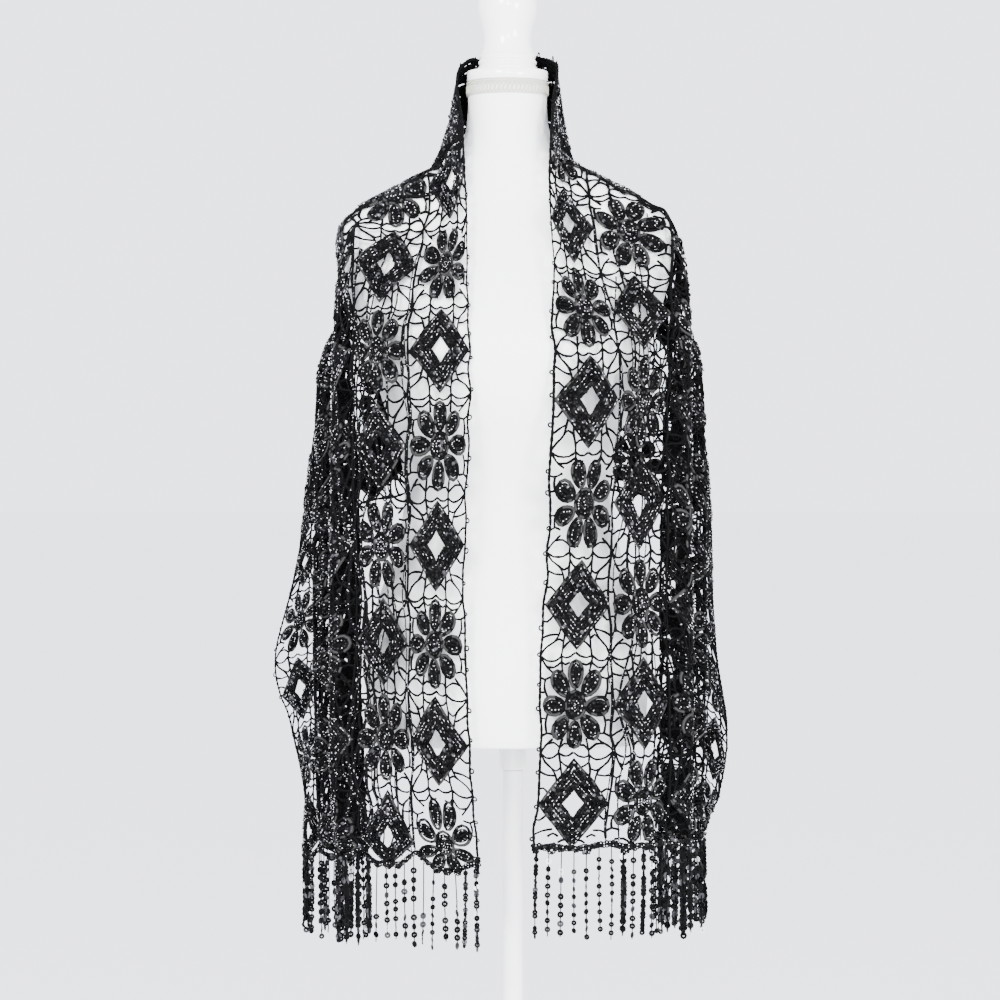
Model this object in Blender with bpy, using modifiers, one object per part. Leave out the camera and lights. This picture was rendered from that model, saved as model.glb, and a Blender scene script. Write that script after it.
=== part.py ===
"""Beaded lace shawl worn open on a limbless dress form, in metres, +Z up, the front facing -Y.

The shawl is one long rectangle of lace, six motifs wide and twenty long, hung round the neck.
A place on the cloth is (row, column): row runs from -10 at the hem on the +X side, over 0 at the
centre back, to +10 at the hem on the -X side, and column from 0 at the inner edge to 6 at the outer.
"""
import math
from collections import namedtuple

import bmesh
import bpy
from mathutils import Vector
from mathutils.bvhtree import BVHTree

# Cloth, flat
CELL_WIDTH = 0.075
CELL_LENGTH = 0.100
COLUMNS = 6
END_ROW = 10
QUADS_PER_CELL = 4
WALL = 0.0020
MOTIF_RISE = 0.0013
SHOULDER_ROW = 2
SEAM_GAP = 0.0008

# Motifs, as shares of a cell
LOZENGE_HOLE = (0.15, 0.16)
NET_RIB = 0.0042
GAP_LIMIT = 0.84

# Fringe
STRANDS_PER_CELL = 6
STRIP_HEIGHT = 0.005
STRAND_LENGTH = 0.095
STRAND_TAPER = 0.75
STRAND_UNEVENNESS = 0.05
PART_GAP = 0.0009

# Folds between the side line (column 2) and the rear line (column 5)
SIDE_COLUMN = 2
REAR_COLUMN = 5
HALF_FOLDS = 4
BACK_FLUTE = 0.008
BACK_FLUTE_PITCH = 1.3
FRONT_WAVE = 0.003

# Dress form and stand
FORM_X = -0.006
FORM_SIDES = 28
CLOTH_CLEARANCE = 0.0007
LIFT_REACH = 0.06
LIFT_SAMPLES = 7
LIFT_ROUNDS = 40
LIFT_SHARE = 0.6
TURN_STEPS = 24

Section = namedtuple("Section", "height half_width front back roundness")
FORM_SECTIONS = [
    Section(1.4787, 0.0435, 0.043, 0.044, 2.00),
    Section(1.4400, 0.0440, 0.044, 0.046, 2.00),
    Section(1.4120, 0.0500, 0.047, 0.050, 2.00),
    Section(1.3930, 0.0640, 0.050, 0.054, 2.00),
    Section(1.3740, 0.0980, 0.053, 0.060, 2.00),
    Section(1.3540, 0.1380, 0.057, 0.066, 2.05),
    Section(1.3340, 0.1700, 0.063, 0.072, 2.10),
    Section(1.3150, 0.1830, 0.071, 0.079, 2.20),
    Section(1.2850, 0.1840, 0.085, 0.088, 2.30),
    Section(1.2400, 0.1720, 0.106, 0.096, 2.40),
    Section(1.1900, 0.1570, 0.123, 0.098, 2.40),
    Section(1.1300, 0.1380, 0.116, 0.092, 2.30),
    Section(1.0800, 0.1210, 0.098, 0.085, 2.20),
    Section(1.0300, 0.1130, 0.088, 0.080, 2.15),
    Section(0.9700, 0.1220, 0.094, 0.086, 2.20),
    Section(0.9000, 0.1450, 0.105, 0.100, 2.30),
    Section(0.8400, 0.1540, 0.110, 0.108, 2.35),
    Section(0.7900, 0.1530, 0.108, 0.106, 2.35),
    Section(0.7520, 0.1500, 0.105, 0.103, 2.35),
]

# Turned profiles, (radius, height) from top to bottom
FINIAL_PROFILE = [
    (0.0, 1.5960), (0.0120, 1.5938), (0.0225, 1.5872), (0.0300, 1.5760), (0.0325, 1.5620),
    (0.0305, 1.5490), (0.0272, 1.5370), (0.0258, 1.5270), (0.0268, 1.5170), (0.0292, 1.5090),
    (0.0312, 1.5065), (0.0300, 1.5035), (0.0322, 1.5000), (0.0308, 1.4970), (0.0328, 1.4935),
    (0.0325, 1.4905), (0.0, 1.4905),
]
NECK_PLATE_PROFILE = [
    (0.0, 1.4902), (0.0438, 1.4902), (0.0445, 1.4895), (0.0445, 1.4797), (0.0438, 1.4790), (0.0, 1.4790),
]
SOCKET_PROFILE = [
    (0.0, 0.7517), (0.0150, 0.7517), (0.0150, 0.7262), (0.0138, 0.7232), (0.0110, 0.7222), (0.0, 0.7222),
]
POLE_PROFILE = [(0.0, 0.7219), (0.0110, 0.7219), (0.0110, 0.0263), (0.0, 0.0263)]
BASE_PROFILE = [
    (0.0, 0.0260), (0.0170, 0.0260), (0.0195, 0.0240), (0.0230, 0.0150), (0.0300, 0.0125),
    (0.1500, 0.0095), (0.1580, 0.0080), (0.1600, 0.0050), (0.1590, 0.0000), (0.0, 0.0000),
]

# Where the cloth's five guide lines pass at each row, 0 at the centre back to 10 at the hem:
# out from the form's middle, depth (+ is behind) and height, on the -X side and on the +X side
Guide = namedtuple("Guide", "left_out left_depth left_height right_out right_depth right_height")
INNER_EDGE = [
    Guide(0.0000, 0.060, 1.508, 0.0000, 0.060, 1.508),
    Guide(0.0510, 0.004, 1.494, 0.0505, 0.012, 1.503),
    Guide(0.0475, -0.050, 1.425, 0.0480, -0.038, 1.452),
    Guide(0.0430, -0.086, 1.326, 0.0440, -0.073, 1.370),
    Guide(0.0425, -0.117, 1.230, 0.0480, -0.110, 1.275),
    Guide(0.0405, -0.124, 1.131, 0.0480, -0.124, 1.180),
    Guide(0.0450, -0.124, 1.024, 0.0460, -0.124, 1.071),
    Guide(0.0465, -0.123, 0.916, 0.0425, -0.123, 0.961),
    Guide(0.0445, -0.122, 0.809, 0.0365, -0.122, 0.854),
    Guide(0.0390, -0.121, 0.704, 0.0330, -0.121, 0.748),
    Guide(0.0300, -0.120, 0.622, 0.0270, -0.120, 0.644),
]
MIDDLE_LINE = [
    Guide(0.0000, 0.084, 1.428, 0.0000, 0.084, 1.428),
    Guide(0.0640, 0.052, 1.410, 0.0620, 0.058, 1.410),
    Guide(0.0780, 0.004, 1.386, 0.0720, 0.030, 1.388),
    Guide(0.0880, -0.068, 1.312, 0.0860, -0.044, 1.352),
    Guide(0.1035, -0.102, 1.227, 0.1010, -0.090, 1.266),
    Guide(0.1065, -0.112, 1.129, 0.1190, -0.104, 1.178),
    Guide(0.1055, -0.113, 1.023, 0.1150, -0.108, 1.070),
    Guide(0.1055, -0.112, 0.918, 0.1105, -0.110, 0.962),
    Guide(0.1055, -0.111, 0.816, 0.1105, -0.109, 0.854),
    Guide(0.1005, -0.110, 0.713, 0.1105, -0.108, 0.747),
    Guide(0.0970, -0.110, 0.630, 0.1070, -0.108, 0.644),
]
SIDE_LINE = [
    Guide(0.0000, 0.092, 1.350, 0.0000, 0.092, 1.350),
    Guide(0.0880, 0.076, 1.325, 0.0880, 0.077, 1.322),
    Guide(0.1500, 0.054, 1.316, 0.1500, 0.062, 1.305),
    Guide(0.1630, -0.050, 1.317, 0.1700, -0.012, 1.338),
    Guide(0.1670, -0.074, 1.228, 0.1770, -0.060, 1.262),
    Guide(0.1650, -0.080, 1.130, 0.1740, -0.074, 1.176),
    Guide(0.1640, -0.082, 1.024, 0.1710, -0.080, 1.072),
    Guide(0.1640, -0.082, 0.918, 0.1710, -0.082, 0.964),
    Guide(0.1640, -0.082, 0.815, 0.1720, -0.082, 0.857),
    Guide(0.1620, -0.080, 0.711, 0.1720, -0.080, 0.750),
    Guide(0.1560, -0.078, 0.632, 0.1690, -0.078, 0.646),
]
REAR_LINE = [
    Guide(0.0000, 0.108, 1.128, 0.0000, 0.108, 1.128),
    Guide(0.1000, 0.106, 1.108, 0.1000, 0.106, 1.110),
    Guide(0.1750, 0.087, 1.090, 0.1750, 0.087, 1.095),
    Guide(0.2120, 0.055, 1.097, 0.2120, 0.055, 1.105),
    Guide(0.2120, 0.040, 1.047, 0.2140, 0.040, 1.065),
    Guide(0.2080, 0.032, 0.992, 0.2120, 0.032, 1.010),
    Guide(0.2070, 0.026, 0.925, 0.2110, 0.026, 0.945),
    Guide(0.2060, 0.022, 0.857, 0.2100, 0.022, 0.872),
    Guide(0.2040, 0.020, 0.783, 0.2080, 0.020, 0.800),
    Guide(0.2000, 0.021, 0.708, 0.2040, 0.022, 0.724),
    Guide(0.1960, 0.021, 0.632, 0.1990, 0.024, 0.648),
]
OUTER_EDGE = [
    Guide(0.0000, 0.116, 1.052, 0.0000, 0.116, 1.052),
    Guide(0.1050, 0.116, 1.030, 0.1050, 0.116, 1.034),
    Guide(0.1850, 0.099, 1.008, 0.1850, 0.099, 1.017),
    Guide(0.2200, 0.070, 1.010, 0.2200, 0.070, 1.025),
    Guide(0.2260, 0.060, 0.998, 0.2240, 0.060, 1.010),
    Guide(0.2300, 0.056, 0.965, 0.2260, 0.056, 0.970),
    Guide(0.2400, 0.052, 0.915, 0.2270, 0.052, 0.905),
    Guide(0.2570, 0.048, 0.838, 0.2330, 0.048, 0.835),
    Guide(0.2380, 0.046, 0.762, 0.2430, 0.046, 0.762),
    Guide(0.2240, 0.044, 0.695, 0.2330, 0.044, 0.690),
    Guide(0.2220, 0.042, 0.632, 0.2080, 0.042, 0.648),
]
# How far the folds swing out at each row, and how far the free flap beyond them does
Swing = namedtuple("Swing", "fold flap")
SWINGS = [
    Swing(0.000, 0.000), Swing(0.002, 0.000), Swing(0.004, 0.000), Swing(0.008, 0.000),
    Swing(0.014, 0.002), Swing(0.018, 0.003), Swing(0.021, 0.003), Swing(0.022, 0.000),
    Swing(0.022, 0.004), Swing(0.023, 0.008), Swing(0.023, 0.012),
]


def clear_scene():
    for old in list(bpy.data.objects):
        bpy.data.objects.remove(old, do_unlink=True)


def new_material(name, color, roughness, metallic=0.0):
    material = bpy.data.materials.new(name)
    material.use_nodes = True
    shader = material.node_tree.nodes["Principled BSDF"]
    shader.inputs["Base Color"].default_value = (*color, 1.0)
    shader.inputs["Roughness"].default_value = roughness
    shader.inputs["Metallic"].default_value = metallic
    return material


def new_object(name, mesh, material, collection):
    piece = bpy.data.objects.new(name, mesh)
    mesh.materials.append(material)
    collection.objects.link(piece)
    return piece


# Smooth curves through the tables
def hermite(before, start, end, after, share):
    """Catmull-Rom between start and end, for numbers or vectors."""
    square, cube = share * share, share * share * share
    return (
        start * (2 * cube - 3 * square + 1)
        + (end - before) * 0.5 * (cube - 2 * square + share)
        + end * (3 * square - 2 * cube)
        + (after - start) * 0.5 * (cube - square)
    )


def along(values, place):
    """The value at a fractional place in an evenly spaced list, which runs on straight past its ends."""
    last = len(values) - 1
    index = min(max(int(math.floor(place)), 0), last - 1)
    start, end = values[index], values[index + 1]
    before = values[index - 1] if index > 0 else start * 2 - end
    after = values[index + 2] if index + 2 <= last else end * 2 - start
    return hermite(before, start, end, after, place - index)


def whole_line(guides):
    """A guide line's points from the hem on the +X side, round the back, to the hem on the -X side."""
    right = [Vector((FORM_X + g.right_out, g.right_depth, g.right_height)) for g in guides]
    left = [Vector((FORM_X - g.left_out, g.left_depth, g.left_height)) for g in guides]
    return right[:0:-1] + left


GUIDES = {
    0: whole_line(INNER_EDGE),
    1: whole_line(MIDDLE_LINE),
    2: whole_line(SIDE_LINE),
    5: whole_line(REAR_LINE),
    6: whole_line(OUTER_EDGE),
}
FOLD_SWING = [s.fold for s in SWINGS[:0:-1] + SWINGS]
FLAP_SWING = [s.flap for s in SWINGS[:0:-1] + SWINGS]


def guide_point(column, row):
    return along(GUIDES[column], row + END_ROW)


def drape(row, column):
    """Where the inner face of the cloth hangs at (row, column)."""
    side = guide_point(2, row)
    rear = guide_point(5, row)
    outer = guide_point(6, row)
    step = 0.05
    run = guide_point(2, row + step) - guide_point(2, row - step)
    run += guide_point(5, row + step) - guide_point(5, row - step)
    facing = (rear - side).cross(run).normalized()
    place = abs(row)
    flute = BACK_FLUTE * math.sin(math.tau * row / BACK_FLUTE_PITCH + 0.6) * max(0.0, 1 - place / 3.5)
    if column <= SIDE_COLUMN:
        inner, middle = guide_point(0, row), guide_point(1, row)
        share = column / SIDE_COLUMN
        point = (
            inner * (1 - share) * (1 - 2 * share)
            + middle * 4 * share * (1 - share)
            + side * share * (2 * share - 1)
        )
        wave = FRONT_WAVE * math.sin(math.pi * column) * math.sin(0.9 * row + 0.4)
        return point + facing * wave * min(1.0, place / 4)
    if column <= REAR_COLUMN:
        share = (column - SIDE_COLUMN) / (REAR_COLUMN - SIDE_COLUMN)
        swing = along(FOLD_SWING, row + END_ROW) * math.sin(math.pi * HALF_FOLDS * share)
        return side.lerp(rear, share) + facing * (swing + flute * share)
    share = column - REAR_COLUMN
    swing = along(FLAP_SWING, row + END_ROW) * math.sin(math.pi * share)
    return rear.lerp(outer, share) + facing * (swing + flute * (1 + 0.4 * share))


# Dress form
def form_section(height):
    """Half width, front depth, back depth and roundness of the form at a height."""
    rows = FORM_SECTIONS
    index = 0
    while index < len(rows) - 2 and height < rows[index + 1].height:
        index += 1
    start, end = rows[index], rows[index + 1]
    share = (start.height - height) / (start.height - end.height)
    before, after = rows[max(index - 1, 0)], rows[min(index + 2, len(rows) - 1)]

    def slope(low, high, field):
        return (getattr(high, field) - getattr(low, field)) / (low.height - high.height)

    result = []
    for field in ("half_width", "front", "back", "roundness"):
        length = start.height - end.height
        square, cube = share * share, share * share * share
        result.append(
            getattr(start, field) * (2 * cube - 3 * square + 1)
            + slope(before, end, field) * length * (cube - 2 * square + share)
            + getattr(end, field) * (3 * square - 2 * cube)
            + slope(start, after, field) * length * (cube - square)
        )
    return result


def form_ring(height, sides):
    half_width, front, back, roundness = form_section(height)
    ring = []
    for index in range(sides):
        angle = math.tau * index / sides
        across, deep = math.cos(angle), math.sin(angle)
        power = 2 / roundness
        x = half_width * math.copysign(abs(across) ** power, across)
        depth = back if deep > 0 else front
        ring.append(Vector((FORM_X + x, depth * math.copysign(abs(deep) ** power, deep), height)))
    return ring


def form_heights():
    """The heights of the table's sections, and one between each pair where the shoulders slope."""
    heights = [FORM_SECTIONS[0].height]
    for start, end in zip(FORM_SECTIONS, FORM_SECTIONS[1:]):
        if 1.30 < end.height < 1.40:
            heights.append((start.height + end.height) / 2)
        heights.append(end.height)
    return heights


def build_form(material, collection):
    mesh_builder = bmesh.new()
    rings = [[mesh_builder.verts.new(p) for p in form_ring(z, FORM_SIDES)] for z in form_heights()]
    for upper, lower in zip(rings, rings[1:]):
        for index in range(FORM_SIDES):
            following = (index + 1) % FORM_SIDES
            mesh_builder.faces.new((upper[index], lower[index], lower[following], upper[following]))
    mesh_builder.faces.new(rings[0])
    mesh_builder.faces.new(rings[-1][::-1])
    bmesh.ops.recalc_face_normals(mesh_builder, faces=mesh_builder.faces)
    mesh = bpy.data.meshes.new("form_body")
    mesh_builder.to_mesh(mesh)
    surface = BVHTree.FromBMesh(mesh_builder)
    mesh_builder.free()
    mesh.shade_smooth()
    mesh.set_sharp_from_angle(angle=math.radians(45))
    new_object("form_body", mesh, material, collection)
    return surface


def build_turned(name, profile, center_x, material, collection):
    """A piece turned about the vertical through center_x."""
    mesh = bpy.data.meshes.new(name)
    points = [(radius, 0.0, height) for radius, height in profile]
    mesh.from_pydata(points, [(i, i + 1) for i in range(len(points) - 1)], [])
    piece = new_object(name, mesh, material, collection)
    piece.location.x = center_x
    screw = piece.modifiers.new("turn", "SCREW")
    screw.steps = TURN_STEPS
    screw.render_steps = TURN_STEPS
    screw.use_merge_vertices = True
    screw.merge_threshold = 0.00001
    screw.use_smooth_shade = True
    return piece


# Cloth, worked flat and then hung
def is_flower(row_index, column_index):
    """Flowers and lozenges alternate like a chessboard, with a flower in the -X hem's inner corner."""
    return (END_ROW - 1 - row_index + column_index) % 2 == 0


def cell_place(row_index, column_index, down, across):
    """The (row, column) of a grid point of a cell, drawn in round a lozenge's hole."""
    row_share, column_share = down / QUADS_PER_CELL, across / QUADS_PER_CELL
    if not is_flower(row_index, column_index) and 1 <= down <= 3 and 1 <= across <= 3:
        halved = 0.5 if down != 2 and across != 2 else 1.0
        column_share = 0.5 + (across - 2) * LOZENGE_HOLE[0] * halved
        row_share = 0.5 + (down - 2) * LOZENGE_HOLE[1] * halved
    return row_index + row_share, column_index + column_share


def flat_cloth():
    """The whole shawl as a flat grid, x along its rows and y across, with its open places cut out."""
    cloth = bmesh.new()
    raised = cloth.verts.layers.deform.verify()
    fine = QUADS_PER_CELL
    points = {}
    for i in range(-END_ROW * fine, END_ROW * fine + 1):
        for j in range(COLUMNS * fine + 1):
            row_index = min(i // fine, END_ROW - 1)
            column_index = min(j // fine, COLUMNS - 1)
            down, across = i - row_index * fine, j - column_index * fine
            row, column = cell_place(row_index, column_index, down, across)
            vert = cloth.verts.new((row * CELL_LENGTH, column * CELL_WIDTH, 0.0))
            vert[raised][0] = 1.0 if 1 <= down <= 3 and 1 <= across <= 3 else 0.0
            points[i, j] = vert
    for i in range(-END_ROW * fine, END_ROW * fine):
        for j in range(COLUMNS * fine):
            down, across = i % fine, j % fine
            corners = [points[i, j], points[i, j + 1], points[i + 1, j + 1], points[i + 1, j]]
            if is_flower(i // fine, j // fine):
                cloth.faces.new(corners)
            elif down in (0, 3) and across in (0, 3):
                knot = points[i + (down == 3), j + (across == 3)]
                cut_net_gap(cloth, cloth.faces.new(corners), knot.co.copy())
            elif down in (0, 3) or across in (0, 3):
                cloth.faces.new(corners)
    for vert in [v for v in cloth.verts if not v.link_faces]:
        cloth.verts.remove(vert)
    return cloth


def cut_net_gap(cloth, face, knot):
    """Open the net between a knot and a lozenge, leaving a rib all round."""
    face.normal_update()
    bmesh.ops.inset_individual(cloth, faces=[face], thickness=NET_RIB, use_even_offset=True)
    for vert in face.verts:
        away = vert.co - knot
        level = abs(away.x) / (0.5 * CELL_LENGTH) + abs(away.y) / (0.5 * CELL_WIDTH)
        if level > GAP_LIMIT:
            vert.co = knot + away * (GAP_LIMIT / level)
    bmesh.ops.delete(cloth, geom=[face], context="FACES_ONLY")


def hang(cloth, form_surface):
    """Move each flat point to where it hangs, clear of the form, and note where it was."""
    row_of = cloth.verts.layers.float.new("row")
    column_of = cloth.verts.layers.float.new("column")
    for vert in cloth.verts:
        vert[row_of] = vert.co.x / CELL_LENGTH
        vert[column_of] = vert.co.y / CELL_WIDTH
        vert.co = drape(vert[row_of], vert[column_of])
    bmesh.ops.triangulate(cloth, faces=cloth.faces)
    lift_clear(cloth, form_surface)


def lift_needed(point, surface):
    """The move that brings a point clear of the form, or None where it is clear."""
    place, normal, _, distance = surface.find_nearest(point, LIFT_REACH)
    if place is None:
        return None
    height = distance if (point - place).dot(normal) > 0 else -distance
    return normal * (CLOTH_CLEARANCE - height) if height < CLOTH_CLEARANCE else None


def lift_clear(cloth, surface):
    """Lift triangles off the form until each is clear at its corners and between them."""
    parts = range(LIFT_SAMPLES + 1)
    shares = [(i / LIFT_SAMPLES, j / LIFT_SAMPLES) for i in parts for j in parts if i + j <= LIFT_SAMPLES]
    near = list(cloth.faces)
    for _ in range(LIFT_ROUNDS):
        moves = {}
        for face in near:
            first, second, third = [v.co for v in face.verts]
            samples = [first + (second - first) * a + (third - first) * b for a, b in shares]
            found = [move for move in (lift_needed(p, surface) for p in samples) if move]
            if not found:
                continue
            worst = max(found, key=lambda move: move.length)
            for vert in face.verts:
                if vert not in moves or worst.length > moves[vert].length:
                    moves[vert] = worst
        if not moves:
            break
        for vert, move in moves.items():
            vert.co += move * LIFT_SHARE
        near = list({face for vert in moves for face in vert.link_faces})


def build_stretch(name, hung, first_row, last_row, material, collection):
    """One stretch of the hung cloth as a wall, drawn back from the next by half the seam gap."""
    cloth = hung.copy()
    row_of = cloth.verts.layers.float["row"]
    column_of = cloth.verts.layers.float["column"]
    outside = []
    for face in cloth.faces:
        middle = sum(v[row_of] for v in face.verts) / 3
        if not first_row < middle < last_row:
            outside.append(face)
    bmesh.ops.delete(cloth, geom=outside, context="FACES")
    for end, direction in ((first_row, 1), (last_row, -1)):
        if abs(end) < END_ROW:
            for vert in [v for v in cloth.verts if abs(v[row_of] - end) < 0.001]:
                ahead = drape(end + direction * 0.1, vert[column_of]) - drape(end, vert[column_of])
                vert.co += ahead.normalized() * SEAM_GAP / 2
    mesh = bpy.data.meshes.new(name)
    cloth.to_mesh(mesh)
    cloth.free()
    piece = new_object(name, mesh, material, collection)
    piece.vertex_groups.new(name="motifs")
    wall = piece.modifiers.new("wall", "SOLIDIFY")
    wall.thickness = WALL + MOTIF_RISE
    wall.offset = 1.0
    wall.vertex_group = "motifs"
    wall.thickness_vertex_group = WALL / (WALL + MOTIF_RISE)


def hem_points(hung, hem_row):
    """The hung cloth's end edge, from the inner corner to the outer."""
    row_of = hung.verts.layers.float["row"]
    column_of = hung.verts.layers.float["column"]
    hem = [v for v in hung.verts if abs(v[row_of] - hem_row) < 0.001]
    return [v.co.copy() for v in sorted(hem, key=lambda v: v[column_of])]


# Fringe
def build_fringe(name, hem, outward_first, material, collection):
    """A narrow strip under a hem's points, cut below into hanging strands."""
    steps = STRANDS_PER_CELL * 2 // QUADS_PER_CELL
    top = [start.lerp(end, k / steps) for start, end in zip(hem, hem[1:]) for k in range(steps)]
    top.append(hem[-1])
    fringe = bmesh.new()
    upper = [fringe.verts.new(p - Vector((0, 0, PART_GAP))) for p in top]
    lower = [fringe.verts.new(p - Vector((0, 0, PART_GAP + STRIP_HEIGHT))) for p in top]
    for index in range(len(top) - 1):
        near, far = lower[index], lower[index + 1]
        fringe.faces.new((upper[index], near, far, upper[index + 1]))
        if index % 2 == 0:
            middle = (near.co + far.co) / 2
            drop = Vector((0, 0, -STRAND_LENGTH * (1 + STRAND_UNEVENNESS * math.sin(1.7 * index))))
            near_tip = fringe.verts.new(middle + (near.co - middle) * STRAND_TAPER + drop)
            far_tip = fringe.verts.new(middle + (far.co - middle) * STRAND_TAPER + drop)
            fringe.faces.new((near, near_tip, far_tip, far))
    if not outward_first:
        bmesh.ops.reverse_faces(fringe, faces=fringe.faces)
    mesh = bpy.data.meshes.new(name)
    fringe.to_mesh(mesh)
    fringe.free()
    piece = new_object(name, mesh, material, collection)
    wall = piece.modifiers.new("wall", "SOLIDIFY")
    wall.thickness = WALL
    wall.offset = 1.0


def main():
    clear_scene()
    collection = bpy.data.collections.new("beaded_shawl_on_dress_form")
    bpy.context.scene.collection.children.link(collection)
    white_cover = new_material("white_cover", (0.86, 0.87, 0.87), 0.75)
    white_wood = new_material("white_wood", (0.88, 0.88, 0.87), 0.30)
    white_metal = new_material("white_metal", (0.85, 0.85, 0.86), 0.35)
    black_lace = new_material("black_lace", (0.012, 0.012, 0.014), 0.55)
    black_sequins = new_material("black_sequins", (0.02, 0.02, 0.024), 0.25)

    form_surface = build_form(white_cover, collection)
    build_turned("neck_plate", NECK_PLATE_PROFILE, FORM_X, white_wood, collection)
    build_turned("finial", FINIAL_PROFILE, FORM_X, white_wood, collection)
    build_turned("pole_socket", SOCKET_PROFILE, 0.0, white_wood, collection)
    build_turned("pole", POLE_PROFILE, 0.0, white_metal, collection)
    build_turned("base", BASE_PROFILE, 0.0, white_metal, collection)

    cloth = flat_cloth()
    hang(cloth, form_surface)
    stretches = (
        ("shawl_right_front", -END_ROW, -SHOULDER_ROW),
        ("shawl_back", -SHOULDER_ROW, SHOULDER_ROW),
        ("shawl_left_front", SHOULDER_ROW, END_ROW),
    )
    for name, first_row, last_row in stretches:
        build_stretch(name, cloth, first_row, last_row, black_lace, collection)
    build_fringe("fringe_right", hem_points(cloth, -END_ROW), True, black_sequins, collection)
    build_fringe("fringe_left", hem_points(cloth, END_ROW), False, black_sequins, collection)
    cloth.free()


main()
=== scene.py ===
"""Fine model of a beaded lace shawl worn open on a limbless dress form.

Metres, +Z up, front facing -Y. The lace is planned in cells, a motif in each: rows run from the
hem on the +X side, over 0 at the centre back, to the hem on the -X side, and columns from 0 at the
inner edge to the outer edge. worked() turns cells into flat points of metres along the rows,
metres across and lift over the cloth's inner face, and hung() hangs flat points on the form.
"""
import math
from collections import namedtuple

import bpy
import numpy as np
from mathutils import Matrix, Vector
from mathutils.bvhtree import BVHTree


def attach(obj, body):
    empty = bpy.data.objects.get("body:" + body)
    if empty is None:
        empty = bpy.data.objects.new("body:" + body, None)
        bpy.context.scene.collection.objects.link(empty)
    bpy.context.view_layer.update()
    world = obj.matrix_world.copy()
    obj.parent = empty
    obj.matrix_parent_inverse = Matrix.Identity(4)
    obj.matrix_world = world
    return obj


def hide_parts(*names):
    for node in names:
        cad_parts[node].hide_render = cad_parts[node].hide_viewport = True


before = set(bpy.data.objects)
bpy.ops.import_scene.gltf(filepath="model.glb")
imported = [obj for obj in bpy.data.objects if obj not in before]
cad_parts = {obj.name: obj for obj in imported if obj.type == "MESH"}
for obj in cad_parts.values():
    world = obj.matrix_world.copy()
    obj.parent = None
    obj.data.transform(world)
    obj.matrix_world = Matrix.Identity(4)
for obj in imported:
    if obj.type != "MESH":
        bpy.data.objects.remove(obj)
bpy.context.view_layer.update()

# Cloth, flat
CELL_WIDTH = 0.075
CELL_LENGTH = 0.100
CELL_SIZE = np.array((CELL_LENGTH, CELL_WIDTH))
COLUMNS = 6
END_ROW = 10
SHOULDER_ROW = 2
GRID_STEP = 0.05
GRID_MARGIN = 0.3
NORMAL_PASSES = 2

# The hem on the -X side and on the +X side: (depth of its scallops, how far past the last row)
SCALLOPED_HEM, STRAIGHT_HEM = (0.20, 0.03), (0.05, -0.02)
SCALLOP_FULLNESS = 0.8
NET_PAST_HEM = 0.02
LINE_PAST_HEM = 0.01

# How far handwork strays, in cells
NET_STRAY = 0.035
EDGE_STRAY = 0.03
DROP_STRAY = 0.02
MOTIF_STRAY = 0.016

# Yarn and sequins
YARN_RADIUS = 0.00145
YARN_SIDES = 3
YARN_LIFT = 0.0011
YARN_STEP = 0.0054
CORD_RADIUS = 0.0023
CORD_SIDES = 4
CORD_FLATNESS = 0.65
CORD_LIFT = 0.0017
CORD_STEP = 0.0062
SQUARE_STEP = 0.0110
SEQUIN_RADIUS = 0.0024
SEQUIN_SIZES = (0.85, 1.10)
SEQUIN_HALF_THICKNESS = 0.00035
SEQUIN_SIDES = 6
SEQUIN_PITCH = 0.0043
SEQUIN_LIFT = 0.0031
SEQUIN_TILT = (0.18, 0.32)
SEQUIN_ROLL = (0.0, 0.34)
SEQUIN_STRAY = 0.0003
SEQUIN_TONES = (0.93, 0.07)
BEAD_RADIUS = 0.00072
BEAD_SIZES, SPECK_SIZES = (0.7, 1.15), (0.55, 1.0)
BEAD_HALF_HEIGHT = 0.8 * BEAD_RADIUS
# Shares of smoke beads and of light silver beads, the light ones a painted glint
SMOKE_AND_GLINT_BEAD_SHARES = (0.45, 0.55)

# Folds between the side line (column 2) and the rear line (column 5)
SIDE_COLUMN = 2
REAR_COLUMN = 5
HALF_FOLDS = 4
BACK_FLUTE = 0.008
BACK_FLUTE_PITCH = 1.3
BACK_FLUTE_REACH = 3.5
FRONT_WAVE = 0.003
FRONT_WAVE_START = 4

# Dress form and stand
FORM_X = -0.006
FORM_SIDES = 96
FORM_STEP = 0.008
TOP_RIM_HEIGHT, TOP_RIM_INSET = 0.0018, 0.002
RIM_HEIGHTS = 0.0045
BOTTOM_RIM = ((0.0010, 0.0008), (0.0, 0.0030))  # (height, inset)
CLOTH_CLEARANCE = 0.0006
CLEARANCE_REACH = 0.05

Section = namedtuple("Section", "height half_width front back roundness")
FORM_SECTIONS = [Section(*measures) for measures in (
    (1.4787, 0.0435, 0.043, 0.044, 2.00),
    (1.4400, 0.0440, 0.044, 0.046, 2.00),
    (1.4120, 0.0500, 0.047, 0.050, 2.00),
    (1.3930, 0.0640, 0.050, 0.054, 2.00),
    (1.3740, 0.0980, 0.053, 0.060, 2.00),
    (1.3540, 0.1380, 0.057, 0.066, 2.05),
    (1.3340, 0.1700, 0.063, 0.072, 2.10),
    (1.3150, 0.1830, 0.071, 0.079, 2.20),
    (1.2850, 0.1840, 0.085, 0.088, 2.30),
    (1.2400, 0.1720, 0.106, 0.096, 2.40),
    (1.1900, 0.1570, 0.123, 0.098, 2.40),
    (1.1300, 0.1380, 0.116, 0.092, 2.30),
    (1.0800, 0.1210, 0.098, 0.085, 2.20),
    (1.0300, 0.1130, 0.088, 0.080, 2.15),
    (0.9700, 0.1220, 0.094, 0.086, 2.20),
    (0.9000, 0.1450, 0.105, 0.100, 2.30),
    (0.8400, 0.1540, 0.110, 0.108, 2.35),
    (0.7900, 0.1530, 0.108, 0.106, 2.35),
    (0.7520, 0.1500, 0.105, 0.103, 2.35),
)]

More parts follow.
